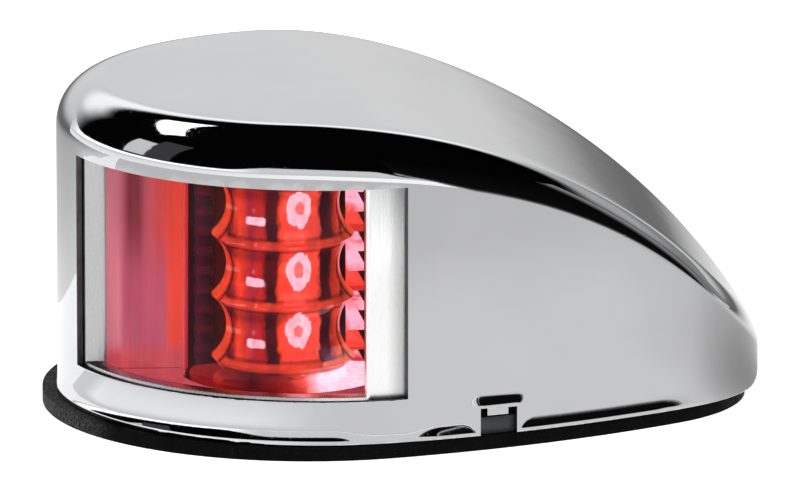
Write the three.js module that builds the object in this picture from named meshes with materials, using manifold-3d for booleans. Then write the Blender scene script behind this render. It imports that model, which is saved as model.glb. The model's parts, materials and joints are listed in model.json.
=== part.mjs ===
// Port navigation light for a deck: a drawn stainless cover that snaps over a plastic base, with a
// window on the port bow for a red lens and a column of three LEDs.
// Millimetres, +Z up. -X is forward (the bow), +X is aft, -Y is to port. The pieces are laid out about
// the centre of the rounded nose, and the whole fitting is then shifted so that the origin is the
// middle of the footprint, on the deck.

import * as THREE from "three";
import { mergeVertices } from "three/addons/utils/BufferGeometryUtils.js";
import Module from "manifold-3d";

const wasm = await Module();
wasm.setup();

// ---------------------------------------------------------------- driving dimensions

// Plan outline of the cover: a nose arc, a tail arc, and one long arc down each side.
const NOSE_R = 40.3;
const TAIL_R = 25.3;
const TAIL_X = 40.35;
const SIDE_R = 147.8;

// Side profile of the cover: level over the nose, then one falling arc to the tail.
const RIM_Z = 2.4;
const TOP_Z = 49.4;
const FALL_X = -8;
const FALL_R = 88.3;
const EDGE_R_NOSE = 7;
const EDGE_R_TAIL = 2.8;
const SHEET = 0.9;

// Window in the port wall.
const WINDOW_LOW = 8.8;
const WINDOW_HIGH = 40.8;
const WINDOW_FORE_Y = -12.4;
const WINDOW_AFT = new THREE.Vector2(9.1, -38.96);
const ABAFT = THREE.MathUtils.degToRad(22.5);

// Release notch in the rim, one each side, with a lip bent inward over its middle.
const NOTCH_BEARING = THREE.MathUtils.degToRad(17.9);
const NOTCH_WIDTH = 5.9;
const NOTCH_HEIGHT = 4.0;
const LIP_WIDTH = 3.4;
const LIP_DROP = 1.3;
const LIP_REACH = 2.4;

// Deck gasket and base.
const GASKET_THICK = 2.2;
const GASKET_GROW = -0.1;
const GASKET_SHIFT = -1.9;
const BASE_INSET = 1.6;
const BASE_THICK = 2.5;
const BASE_TOP = GASKET_THICK + BASE_THICK;
const SKIRT_THICK = 1.3;
const SKIRT_TOP = 7.9;
const DECK_HOLES = [
  [-14, 24],
  [52, 0],
];
const DECK_HOLE_R = 2.3;
const DECK_BOSS_R = 4.8;
const DECK_BOSS_TOP = 7.2;
const CABLE_AT = new THREE.Vector2(24, 14);
const CABLE_R = 3.5;
const GROMMET_R = 5.4;
const GROMMET_FLANGE_R = 7.4;

// Lamp: optic column, lens block, bezel and carrier.
const OPTIC_AT = new THREE.Vector2(-7.4, -16.6);
const BORE_X = -6;
const BORE_R = 4.6;
const OPTIC_BACK = -13.5;
const RIDGE_R = 10.8;
const WAIST_R = 8.6;
const RIDGE_LOW = 10.95;
const RIDGE_PITCH = 9.25;
const RINGS = 3;
const DISC_R = 14.2;
const DISC_LOW = 7.65;
const DISC_TOP = 8.8;
const OPTIC_TOP = 39.6;
const LENS_INSET = 4.3;
const LENS_BORE = 14.9;
const LENS_BACK = -12.9;
const LENS_AFT_X = 12;
const LENS_LOW = 8.3;
const LENS_HIGH = 42.0;
const SEAL_THICK = 0.7;
const SEAL_WIDTH = 2.2;
const BEZEL_INSET = 1.55;
const BEZEL_DEPTH = 2.45;
const BEZEL_AFT_X = 11.5;
const BEZEL_STRIP_X = 2.8;
const BEZEL_SCREEN_Y = -12.6;
const BEZEL_SCREEN_THICK = 1.3;
const BEZEL_SCREEN_END = -33.3;
const FLOOR_LOW = 4.9;
const FLOOR_TOP = 7.5;
const FLOOR_INSET = 4.5;
const CARRIER_WALL = 2;
const CARRIER_FRONT = -12.6;
const CARRIER_BACK = 4.2;
const CARRIER_LEFT = -22.4;
const CARRIER_RIGHT = 7.6;
const CAP_LOW = 42.8;
const CAP_TOP = 44.3;

// Fits and mesh fineness.
const CLEAR = 0.1;
const ROUND_STEPS = 24;

// ---------------------------------------------------------------- materials

const metal = (color, roughness) => new THREE.MeshStandardMaterial({ color, roughness, metalness: 1 });
const plastic = (color, roughness) => new THREE.MeshStandardMaterial({ color, roughness, metalness: 0 });
const tinted = (color, opacity) =>
  new THREE.MeshStandardMaterial({ color, opacity, transparent: true, roughness: 0.06, metalness: 0 });

const MIRROR_STEEL = metal(0xd9dadc, 0.05);
const SATIN_STEEL = metal(0xc9cac8, 0.3);
const ZINC_STEEL = metal(0xb9bbbd, 0.25);
const DARK_ALUMINIUM = metal(0x2b2b2e, 0.4);
const BRASS = metal(0xc8a24a, 0.3);
const RUBBER = plastic(0x17181a, 0.8);
const BLACK_ABS = plastic(0x24262a, 0.45);
const RED_LENS = tinted(0xd3141f, 0.55);
const RED_OPTIC = tinted(0xf23a1c, 0.7);
const SILICONE = plastic(0xb9b4b0, 0.6);
const BOARD = plastic(0x14532d, 0.5);
const LED_WHITE = plastic(0xf3ead9, 0.35);
const CHIP_BLACK = plastic(0x1b1b1d, 0.4);
const FERRITE = plastic(0x3a3a3f, 0.7);
const RIBBON = plastic(0xc07a2a, 0.4);
const WIRE_RED = plastic(0xb01c1c, 0.5);
const WIRE_BLACK = plastic(0x1a1a1a, 0.5);
const NYLON = plastic(0xd8d6cd, 0.5);

// ---------------------------------------------------------------- solids

function solid(geometry) {
  const bare = geometry.index ? geometry.toNonIndexed() : geometry.clone();
  bare.deleteAttribute("normal");
  bare.deleteAttribute("uv");
  const merged = mergeVertices(bare, 1e-4);
  return new wasm.Manifold(
    new wasm.Mesh({
      numProp: 3,
      vertProperties: merged.attributes.position.array,
      triVerts: new Uint32Array(merged.index.array),
    }),
  );
}

function geometryOf(body) {
  const made = body.getMesh();
  const geometry = new THREE.BufferGeometry();
  geometry.setAttribute("position", new THREE.BufferAttribute(new Float32Array(made.vertProperties), 3));
  geometry.setIndex(new THREE.BufferAttribute(new Uint32Array(made.triVerts), 1));
  geometry.computeVertexNormals();
  return geometry;
}

// A box between two opposite corners.
function block(low, high) {
  const size = high.map((v, i) => v - low[i]);
  const middle = high.map((v, i) => (v + low[i]) / 2);
  return solid(new THREE.BoxGeometry(...size).translate(...middle));
}

// An upright round bar.
function bar(x, y, radius, low, high, steps = ROUND_STEPS) {
  const geometry = new THREE.CylinderGeometry(radius, radius, high - low, steps);
  return solid(geometry.rotateX(Math.PI / 2).translate(x, y, (low + high) / 2));
}

// A plan polygon, counter-clockwise, raised from low to high.
function prism(points, low, high) {
  const shape = new THREE.Shape(points.map(([x, y]) => new THREE.Vector2(x, y)));
  const geometry = new THREE.ExtrudeGeometry(shape, { depth: high - low, bevelEnabled: false });
  return solid(geometry.translate(0, 0, low));
}

// A closed profile of [radius, height] points turned about an upright axis.
function turned(profile, steps = ROUND_STEPS) {
  const points = profile.map(([radius, height]) => new THREE.Vector2(radius, height));
  return solid(new THREE.LatheGeometry(points, steps).rotateX(Math.PI / 2));
}

const mirrored = (body) => body.mirror([0, 1, 0]);
const union = (bodies) => bodies.reduce((all, body) => all.add(body));

// ---------------------------------------------------------------- the plan outline

// The side arcs touch the nose and tail arcs from outside, so their centre is fixed by both.
const toNose = SIDE_R - NOSE_R;
const toTail = SIDE_R - TAIL_R;
const sideX = (toNose ** 2 - toTail ** 2 + TAIL_X ** 2) / (2 * TAIL_X);
const sideY = Math.sqrt(toNose ** 2 - sideX ** 2);
const noseJoin = Math.atan2(sideY, -sideX);
const tailJoin = Math.atan2(sideY, TAIL_X - sideX);

// Half of the outline as arcs, from the tip of the tail round by starboard to the tip of the nose.
const HALF = [
  { x: TAIL_X, y: 0, r: TAIL_R, from: 0, to: tailJoin, steps: 9 },
  { x: sideX, y: -sideY, r: SIDE_R, from: tailJoin, to: noseJoin, steps: 9 },
  { x: 0, y: 0, r: NOSE_R, from: noseJoin, to: Math.PI, steps: 16 },
];

const stations = [];
for (const arc of HALF) {
  for (let i = stations.length ? 1 : 0; i <= arc.steps; i++) {
    const angle = arc.from + ((arc.to - arc.from) * i) / arc.steps;
    stations.push({ x: arc.x, y: arc.y, r: arc.r, angle });
  }
}
for (let i = stations.length - 2; i > 0; i--) {
  const s = stations[i];
  stations.push({ x: s.x, y: -s.y, r: s.r, angle: -s.angle });
}

function outlinePoint(station, inset) {
  const reach = station.r - inset;
  return [station.x + reach * Math.cos(station.angle), station.y + reach * Math.sin(station.angle)];
}

const outline = (inset) => stations.map((s) => outlinePoint(s, inset));
const plate = (inset, low, high) => prism(outline(inset), low, high);
const ring = (outer, inner, low, high) => plate(outer, low, high).subtract(plate(inner, low - 1, high + 1));

// ---------------------------------------------------------------- the cover's outer and inner forms

function topHeight(x, inset) {
  if (x <= FALL_X) return TOP_Z - inset;
  return TOP_Z - FALL_R + Math.sqrt((FALL_R - inset) ** 2 - (x - FALL_X) ** 2);
}

function edgeRadius(x) {
  const share = THREE.MathUtils.smoothstep(x, FALL_X, TAIL_X + TAIL_R);
  return EDGE_R_NOSE + (EDGE_R_TAIL - EDGE_R_NOSE) * share;
}

// The solid under the falling top, inside the outline, with a rounded top edge. The inset shrinks it
// evenly, so the same form minus a slightly inset one is a sheet of even thickness.
function coverForm(inset, low) {
  const edgeSteps = 6;
  const rings = [outline(inset).map(([x, y]) => [x, y, low])];
  for (let k = 0; k <= edgeSteps; k++) {
    const turn = (Math.PI / 2) * (k / edgeSteps);
    rings.push(
      stations.map((station) => {
        const radius = edgeRadius(outlinePoint(station, 0)[0]) - inset;
        const [x, y] = outlinePoint(station, inset + radius * (1 - Math.cos(turn)));
        return [x, y, topHeight(x, inset) - radius * (1 - Math.sin(turn))];
      }),
    );
  }
  const n = stations.length;
  const index = [];
  for (let k = 0; k + 1 < rings.length; k++) {
    for (let i = 0; i < n; i++) {
      const a = k * n + i;
      const b = k * n + ((i + 1) % n);
      index.push(a, b, b + n, a, b + n, a + n);
    }
  }
  closeAcross(index, (rings.length - 1) * n, n, false);
  closeAcross(index, 0, n, true);
  const geometry = new THREE.BufferGeometry();
  geometry.setAttribute("position", new THREE.BufferAttribute(new Float32Array(rings.flat(2)), 3));
  geometry.setIndex(index);
  return solid(geometry);
}

// Fills one ring with strips from side to side, facing up or down.
function closeAcross(index, first, n, down) {
  const add = (a, b, c) => (down ? index.push(a, c, b) : index.push(a, b, c));
  for (let i = 0; i < n / 2; i++) {
    const a = first + i;
    const b = first + i + 1;
    const c = first + n - i - 1;
    const d = first + ((n - i) % n);
    if (c !== b) add(a, b, c);
    if (d !== a) add(a, c, d);
  }
}

// ---------------------------------------------------------------- cover

// A port wall frame at the notch: x runs aft along the wall, y runs inward, z is up.
const notchPoint = [sideX + SIDE_R * Math.sin(NOTCH_BEARING), sideY - SIDE_R * Math.cos(NOTCH_BEARING)];
const atNotch = (body) =>
  body.rotate([0, 0, THREE.MathUtils.radToDeg(NOTCH_BEARING)]).translate([...notchPoint, 0]);

function windowCut() {
  const inward = [WINDOW_AFT.x - 8 * Math.sin(ABAFT), WINDOW_AFT.y + 8 * Math.cos(ABAFT)];
  const outward = [WINDOW_AFT.x + 12 * Math.sin(ABAFT), WINDOW_AFT.y - 12 * Math.cos(ABAFT)];
  const points = [[-60, WINDOW_FORE_Y], [-60, -50], outward, inward, [-5, -25], [-25, WINDOW_FORE_Y]];
  return prism(points, WINDOW_LOW, WINDOW_HIGH);
}

function housing() {
  const shell = coverForm(0, RIM_Z).subtract(coverForm(SHEET, RIM_Z - 1)).subtract(windowCut());
  const half = NOTCH_WIDTH / 2;
  const notchTop = RIM_Z + NOTCH_HEIGHT;
  const notch = atNotch(block([-half, -2, 0], [half, 2.2, notchTop]));
  const tongueLow = notchTop - LIP_DROP;
  const tongue = block([-LIP_WIDTH / 2, 0.05, tongueLow], [LIP_WIDTH / 2, SHEET, notchTop + 0.2]);
  const lip = block([-LIP_WIDTH / 2, 0.05, tongueLow], [LIP_WIDTH / 2, LIP_REACH, tongueLow + SHEET]);
  const catchLip = atNotch(tongue.add(lip));
  return shell
    .subtract(notch)
    .subtract(mirrored(notch))
    .add(catchLip)
    .add(mirrored(catchLip));
}

// ---------------------------------------------------------------- gasket, base and grommet

function deckGasket() {
  const pad = plate(-GASKET_GROW, 0, GASKET_THICK).translate([GASKET_SHIFT, 0, 0]);
  const holes = DECK_HOLES.map(([x, y]) => bar(x, y, DECK_HOLE_R, -1, 4, 16));
  const cable = bar(CABLE_AT.x, CABLE_AT.y, GROMMET_R + CLEAR, -1, 4);
  return pad.subtract(union(holes)).subtract(cable);
}

const LATCH_ROOT = 16;
const LATCH_TOP = 9.6;
const TOOTH_TIP = LIP_REACH + 0.3;

function basePlate() {
  const bezelGap = block([-60, -50, BASE_TOP], [BEZEL_AFT_X + 2, -10.5, 12]);
  const skirtInner = BASE_INSET + SKIRT_THICK;
  const latchGap = atNotch(block([-4.5, -3, BASE_TOP], [4.5, skirtInner + 0.2, 12]));
  const skirt = ring(BASE_INSET, skirtInner, BASE_TOP - 0.5, SKIRT_TOP)
    .subtract(bezelGap)
    .subtract(latchGap)
    .subtract(mirrored(latchGap));
  const rootBlock = atNotch(block([LATCH_ROOT + 0.3, 3.2, BASE_TOP - 0.5], [LATCH_ROOT + 3.6, 6.6, LATCH_TOP]));
  const bosses = DECK_HOLES.map(([x, y]) => bar(x, y, DECK_BOSS_R, BASE_TOP - 0.5, DECK_BOSS_TOP));
  const screwHoles = DECK_HOLES.map(([x, y]) => bar(x, y, DECK_HOLE_R, 0, 12, 16));
  const moduleHoles = MODULE_SCREWS.map(([x, y]) => bar(x, y, 1.4, 0, 12, 12));
  const cableHole = bar(CABLE_AT.x, CABLE_AT.y, GROMMET_R + CLEAR, 0, 12);
  return plate(BASE_INSET, GASKET_THICK, BASE_TOP)
    .add(skirt)
    .add(rootBlock)
    .add(mirrored(rootBlock))
    .add(union(bosses))
    .subtract(union([...screwHoles, ...moduleHoles, cableHole]));
}

// A rubber bush with a flange that sits on the base around the cable hole.
function cableGrommet() {
  const flangeLow = BASE_TOP + CLEAR;
  return turned([
    [CABLE_R, 0.5],
    [GROMMET_R, 0.5],
    [GROMMET_R, flangeLow],
    [GROMMET_FLANGE_R, flangeLow],
    [GROMMET_FLANGE_R, flangeLow + 1.5],
    [GROMMET_R, flangeLow + 3],
    [CABLE_R, flangeLow + 3],
    [CABLE_R, 0.5],
  ]);
}

// The finger that holds the lip down. It springs sideways about its root, at its aft end.
function releaseLatch() {
  const arm = prism(
    [
      [-3, 3.2],
      [3, 3.2],
      [12, 4.3],
      [LATCH_ROOT, 4.3],
      [LATCH_ROOT, 6],
      [12, 6],
      [3, 4.8],
      [-3, 4.8],
    ],
    BASE_TOP + 0.2,
    LATCH_TOP,
  );
  const toothLow = RIM_Z + NOTCH_HEIGHT - LIP_DROP + SHEET + 0.3;
  const side = new THREE.Shape([
    new THREE.Vector2(3.6, toothLow),
    new THREE.Vector2(3.6, LATCH_TOP - 0.4),
    new THREE.Vector2(3.1, LATCH_TOP - 0.4),
    new THREE.Vector2(TOOTH_TIP, toothLow + 1),
    new THREE.Vector2(TOOTH_TIP, toothLow),
  ]);
  const tooth = new THREE.ExtrudeGeometry(side, { depth: 2.8, bevelEnabled: false });
  tooth.rotateX(Math.PI / 2).rotateZ(Math.PI / 2).translate(-1.4, 0, 0);
  return arm.add(solid(tooth));
}

// ---------------------------------------------------------------- optic, lens and bezel

// Stacked rings with sharp ridges and hollow waists, on a thin round foot, flat at the back.
function lightGuide() {
  const profile = [
    [0, DISC_LOW],
    [DISC_R, DISC_LOW],
    [DISC_R, DISC_TOP],
    [RIDGE_R - 1.6, DISC_TOP + 0.3],
    [RIDGE_R, RIDGE_LOW],
  ];
  const arcSteps = 6;
  for (let ringIndex = 0; ringIndex < RINGS; ringIndex++) {
    for (let i = 1; i <= arcSteps; i++) {
      const share = i / arcSteps;
      const radius = RIDGE_R - (RIDGE_R - WAIST_R) * Math.sin(Math.PI * share);
      profile.push([radius, RIDGE_LOW + RIDGE_PITCH * (ringIndex + share)]);
    }
  }
  profile.push([RIDGE_R, OPTIC_TOP], [0, OPTIC_TOP]);
  return turned(profile, 32)
    .translate([OPTIC_AT.x, OPTIC_AT.y, 0])
    .subtract(bar(BORE_X, OPTIC_AT.y, BORE_R, 0, 60))
    .subtract(block([-40, OPTIC_BACK, 0], [40, 20, 60]));
}

function guideCushion() {
  const low = OPTIC_TOP + CLEAR;
  const high = CAP_LOW - CLEAR;
  return bar(OPTIC_AT.x, OPTIC_AT.y, 8, low, high)
    .subtract(bar(BORE_X, OPTIC_AT.y, BORE_R, low - 1, high + 1))
    .subtract(block([-40, OPTIC_BACK, 0], [40, 20, 60]));
}

const lensReach = block([-60, -60, 0], [LENS_AFT_X, LENS_BACK, 60]);

function lens() {
  return plate(LENS_INSET, LENS_LOW, LENS_HIGH)
    .intersect(lensReach)
    .subtract(bar(OPTIC_AT.x, OPTIC_AT.y, LENS_BORE, 0, 60, 48));
}

function lensSeal(low) {
  return ring(LENS_INSET + 0.2, LENS_INSET + 0.2 + SEAL_WIDTH, low, low + SEAL_THICK).intersect(lensReach);
}

function lensBezel() {
  const around = ring(BEZEL_INSET, BEZEL_INSET + BEZEL_DEPTH, FLOOR_LOW, LENS_HIGH);
  const reach = block([-60, -60, 0], [BEZEL_AFT_X, BEZEL_SCREEN_Y + BEZEL_SCREEN_THICK, 60]);
  const opening = block([-60, -60, WINDOW_LOW - 0.15], [BEZEL_STRIP_X, BEZEL_SCREEN_Y, WINDOW_HIGH + 0.15]);
  const screenBack = BEZEL_SCREEN_Y + BEZEL_SCREEN_THICK;
  const screen = block([-36, BEZEL_SCREEN_Y, FLOOR_TOP + CLEAR], [BEZEL_SCREEN_END, screenBack, LENS_HIGH]);
  return around.intersect(reach).subtract(opening).add(screen);
}

// ---------------------------------------------------------------- carrier, cap and cooling

const MODULE_SCREWS = [
  [-28, 2],
  [13, 1],
  [-7, 10.6],
];
const CAP_SCREWS = [
  [-26.4, -6],
  [11.4, -6],
];
const DRIVER_SCREWS = [
  [-19, 27],
  [3, 27],
];
const DRIVER_FACE = 6.0;
const DRIVER_THICK = 1.6;
const DRIVER_BACK = DRIVER_FACE + 0.1 + DRIVER_THICK;

function lampCarrier() {
  const slab = plate(FLOOR_INSET, FLOOR_LOW, FLOOR_TOP).intersect(block([-60, -60, 0], [16.5, 13.4, 60]));
  const left = CARRIER_LEFT;
  const right = CARRIER_RIGHT;
  const w = CARRIER_WALL;
  const walls = prism(
    [
      [-33.2, CARRIER_FRONT],
      [left, CARRIER_FRONT],
      [left, CARRIER_BACK - w],
      [right, CARRIER_BACK - w],
      [right, CARRIER_FRONT],
      [LENS_AFT_X, CARRIER_FRONT],
      [LENS_AFT_X, CARRIER_FRONT + w],
      [right + w, CARRIER_FRONT + w],
      [right + w, CARRIER_BACK],
      [left - w, CARRIER_BACK],
      [left - w, CARRIER_FRONT + w],
      [-33.2, CARRIER_FRONT + w],
    ],
    FLOOR_TOP - 0.5,
    LENS_HIGH,
  );
  const capBosses = CAP_SCREWS.map(([x, y]) => bar(x, y, 2.4, FLOOR_TOP - 0.5, LENS_HIGH, 16));
  const capHoles = CAP_SCREWS.map(([x, y]) => bar(x, y, 1.15, LENS_HIGH - 8, 60, 12));
  const standoffs = DRIVER_SCREWS.map(([x, z]) => across(x, z, 2.3, CARRIER_BACK - 0.5, DRIVER_FACE));
  const driverHoles = DRIVER_SCREWS.map(([x, z]) => across(x, z, 1.15, CARRIER_BACK - 1.9, 20));
  const moduleHoles = MODULE_SCREWS.map(([x, y]) => bar(x, y, 1.5, 0, 12, 12));
  return slab
    .add(walls)
    .add(union([...capBosses, ...standoffs]))
    .subtract(union([...capHoles, ...driverHoles, ...moduleHoles]));
}

// A round bar that lies along Y.
function across(x, z, radius, from, to, steps = 16) {
  const geometry = new THREE.CylinderGeometry(radius, radius, to - from, steps);
  return solid(geometry.translate(x, (from + to) / 2, z));
}

function moduleCap() {
  const holes = CAP_SCREWS.map(([x, y]) => bar(x, y, 1.4, 0, 60, 12));
  return plate(FLOOR_INSET, CAP_LOW, CAP_TOP)
    .intersect(block([-60, -60, 0], [15, 5, 60]))
    .subtract(union(holes));
}

const BOARD_HALF = 10;
const BOARD_FRONT = OPTIC_BACK + 0.05;
const BOARD_BACK = BOARD_FRONT + 1.6;

function ledBoard() {
  return block([OPTIC_AT.x - BOARD_HALF, BOARD_FRONT, 9], [OPTIC_AT.x + BOARD_HALF, BOARD_BACK, 40]);
}

// A packaged LED: a square body with a round dome on the side that faces out.
function led() {
  const body = block([-1.75, -0.9, -1.75], [1.75, -0.05, 1.75]);
  const dome = solid(new THREE.SphereGeometry(1.3, 16, 10).translate(0, -0.8, 0));
  return body.add(dome.intersect(block([-2, -3, -2], [2, -0.5, 2])));
}

// A core behind the board, crossed by level fins that show on both sides of it.
function heatSink() {
  const low = FLOOR_TOP + CLEAR;
  const high = LENS_HIGH - 0.5;
  const middle = OPTIC_AT.x;
  const core = block([middle - BOARD_HALF - 0.4, BOARD_BACK + CLEAR, low], [middle + BOARD_HALF + 0.4, -1, high]);
  const fins = 12;
  const finThick = 1.3;
  const pitch = (high - low - finThick) / (fins - 1);
  const pieces = [];
  for (let i = 0; i < fins; i++) {
    const z = low + i * pitch;
    pieces.push(block([middle - 13, -13.2, z], [middle + 13, 1.5, z + finThick]));
  }
  const pocket = block([middle - BOARD_HALF - 0.4, -20, 0], [middle + BOARD_HALF + 0.4, BOARD_BACK + CLEAR, 60]);
  return core.add(union(pieces)).subtract(pocket);
}

// ---------------------------------------------------------------- driver and wiring

function driverBoard() {
  const holes = DRIVER_SCREWS.map(([x, z]) => across(x, z, 1.3, 0, 20, 12));
  return block([-22, DRIVER_FACE + 0.1, FLOOR_TOP + 0.3], [6, DRIVER_BACK, 32]).subtract(union(holes));
}

const onBoard = DRIVER_BACK + 0.05;

function driverInductor() {
  const foot = block([-18.6, onBoard, 12.4], [-9.4, onBoard + 0.8, 21.6]);
  const drum = across(-14, 17, 4, onBoard + 0.8, onBoard + 4.6, 24);
  const top = across(-14, 17, 4.5, onBoard + 4.6, onBoard + 5.4, 24);
  return foot.add(drum).add(top);
}

const driverCapacitor = () => across(-4, 19, 3.2, onBoard, onBoard + 9);
const driverChip = () => block([-16.5, onBoard, 24], [-11.5, onBoard + 1.6, 28]);
const driverDiode = () => block([-8.6, onBoard, 25.5], [-4.2, onBoard + 2.2, 29]);

// A flat flexible strip from the head of the LED board, over the carrier wall, down to the driver.
function ledRibbon() {
  const t = 0.35;
  const front = BOARD_FRONT + 0.3;
  const top = CAP_LOW - 0.15;
  const back = DRIVER_FACE + 0.05 - t;
  const low = 29;
  const side = new THREE.Shape([
    new THREE.Vector2(front, 40.1),
    new THREE.Vector2(front + t, 40.1),
    new THREE.Vector2(front + t, top - t),
    new THREE.Vector2(back, top - t),
    new THREE.Vector2(back, low),
    new THREE.Vector2(back + t, low),
    new THREE.Vector2(back + t, top),
    new THREE.Vector2(front, top),
  ]);
  const strip = new THREE.ExtrudeGeometry(side, { depth: 7, bevelEnabled: false });
  return solid(strip.rotateX(Math.PI / 2).rotateZ(Math.PI / 2).translate(OPTIC_AT.x + 0.5, 0, 0));
}

const TERMINAL_X = 38;
const TERMINAL_PITCH = 5;
const TERMINAL_TOP = 13.6;

function terminalBlock() {
  const body = block([TERMINAL_X - 5, -5.5, BASE_TOP + CLEAR], [TERMINAL_X + 5, 5.5, TERMINAL_TOP]);
  const cuts = [];
  for (const side of [-1, 1]) {
    const y = (side * TERMINAL_PITCH) / 2;
    cuts.push(bar(TERMINAL_X, y, 1.9, TERMINAL_TOP - 3.4, 20, 16));
    const entry = new THREE.CylinderGeometry(1.2, 1.2, 30, 12);
    cuts.push(solid(entry.rotateZ(Math.PI / 2).translate(TERMINAL_X, y, 8)));
  }
  return body.subtract(union(cuts));
}

// A cheese-head screw, head down at z = 0 underside, shank below.
function screw(headR, headHigh, shankR, shankLong) {
  const head = bar(0, 0, headR, 0, headHigh, 20);
  const slot = block([-headR, -0.35, headHigh - 0.7], [headR, 0.35, headHigh + 1]);
  const body = shankLong ? head.add(bar(0, 0, shankR, -shankLong, 0.2, 12)) : head;
  return body.subtract(slot);
}

// An insulated lead along a smooth curve.
function lead(points) {
  const path = new THREE.CatmullRomCurve3(points.map((p) => new THREE.Vector3(...p)));
  const section = new THREE.Shape();
  section.absarc(0, 0, 0.8, 0, 2 * Math.PI);
  return solid(new THREE.ExtrudeGeometry(section, { steps: 22, curveSegments: 4, extrudePath: path }));
}

// ---------------------------------------------------------------- assembly

function piece(name, material, body, position = [0, 0, 0]) {
  const mesh = new THREE.Mesh(geometryOf(body), material);
  mesh.name = name;
  mesh.position.set(...position);
  return mesh;
}

const fitting = new THREE.Group();
fitting.add(
  piece("housing", MIRROR_STEEL, housing()),
  piece("deck_gasket", RUBBER, deckGasket()),
  piece("base_plate", BLACK_ABS, basePlate()),
  piece("cable_grommet", RUBBER, cableGrommet(), [CABLE_AT.x, CABLE_AT.y, 0]),
  piece("release_latch_port", BLACK_ABS, atNotch(releaseLatch())),
  piece("release_latch_starboard", BLACK_ABS, mirrored(atNotch(releaseLatch()))),
  piece("lamp_carrier", BLACK_ABS, lampCarrier()),
  piece("module_cap", BLACK_ABS, moduleCap()),
  piece("lens", RED_LENS, lens()),
  piece("lens_bezel", SATIN_STEEL, lensBezel()),
  piece("lens_seal_lower", SILICONE, lensSeal(FLOOR_TOP + 0.05)),
  piece("lens_seal_upper", SILICONE, lensSeal(LENS_HIGH + 0.05)),
  piece("light_guide", RED_OPTIC, lightGuide()),
  piece("guide_cushion", SILICONE, guideCushion()),
  piece("led_board", BOARD, ledBoard()),
  piece("heat_sink", DARK_ALUMINIUM, heatSink()),
  piece("driver_board", BOARD, driverBoard()),
  piece("driver_inductor", FERRITE, driverInductor()),
  piece("driver_capacitor", ZINC_STEEL, driverCapacitor()),
  piece("driver_chip", CHIP_BLACK, driverChip()),
  piece("driver_diode", CHIP_BLACK, driverDiode()),
  piece("led_ribbon", RIBBON, ledRibbon()),
  piece("terminal_block", NYLON, terminalBlock()),
);

["lower", "middle", "upper"].forEach((level, i) => {
  const z = RIDGE_LOW + RIDGE_PITCH * (i + 0.5);
  fitting.add(piece(`led_${level}`, LED_WHITE, led(), [BORE_X, BOARD_FRONT, z]));
});

MODULE_SCREWS.forEach(([x, y], i) => {
  fitting.add(piece(`module_screw_${i + 1}`, ZINC_STEEL, screw(2.6, 1.7, 1.25, 4.6), [x, y, FLOOR_TOP + 0.05]));
});

CAP_SCREWS.forEach(([x, y], i) => {
  fitting.add(piece(`cap_screw_${i + 1}`, ZINC_STEEL, screw(2.2, 1.2, 1, 7), [x, y, CAP_TOP + 0.05]));
});

DRIVER_SCREWS.forEach(([x, z], i) => {
  const turnedScrew = screw(2.2, 1.3, 1, 4.2).rotate([-90, 0, 0]);
  fitting.add(piece(`driver_screw_${i + 1}`, ZINC_STEEL, turnedScrew, [x, DRIVER_BACK + 0.05, z]));
});

[-1, 1].forEach((side, i) => {
  const y = (side * TERMINAL_PITCH) / 2;
  fitting.add(piece(`terminal_screw_${i + 1}`, BRASS, screw(1.75, 2.6, 0, 0), [TERMINAL_X, y, TERMINAL_TOP - 3.3]));
});

fitting.add(
  piece(
    "lead_red",
    WIRE_RED,
    lead([
      [36, 2.5, 8],
      [31, 2.7, 8.1],
      [24, 3.6, 10.8],
      [17, 9, 13.5],
      [9, 13.5, 15.5],
      [3.6, 12.5, 16],
      [3, DRIVER_BACK + 0.3, 16],
    ]),
  ),
  piece(
    "lead_black",
    WIRE_BLACK,
    lead([
      [36, -2.5, 8],
      [31, -2.3, 8.1],
      [24, 0.5, 9.8],
      [17.5, 6.4, 11],
      [9, 11.3, 11.4],
      [3.6, 11.6, 11.6],
      [3, DRIVER_BACK + 0.3, 11.6],
    ]),
  ),
);

// Move the origin from the nose centre to the middle of the footprint.
const foreTip = GASKET_SHIFT - NOSE_R - GASKET_GROW;
const aftTip = TAIL_X + TAIL_R;
fitting.position.x = -(foreTip + aftTip) / 2;

const root = new THREE.Group();
root.add(fitting);

export default root;
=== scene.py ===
"""Port navigation light: a mirror-polished cover with a window for a red lens, on a rubber gasket.

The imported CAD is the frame. The cover, lens, optic, bezel and gasket are rebuilt here as fine meshes
on the same driving dimensions. All other parts are the CAD shapes with softened edges.
Metres throughout, +Z up, -X forward, -Y to port.
"""

import json
import math
from contextlib import contextmanager

import bmesh
import bpy
from mathutils import Matrix, Vector

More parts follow.
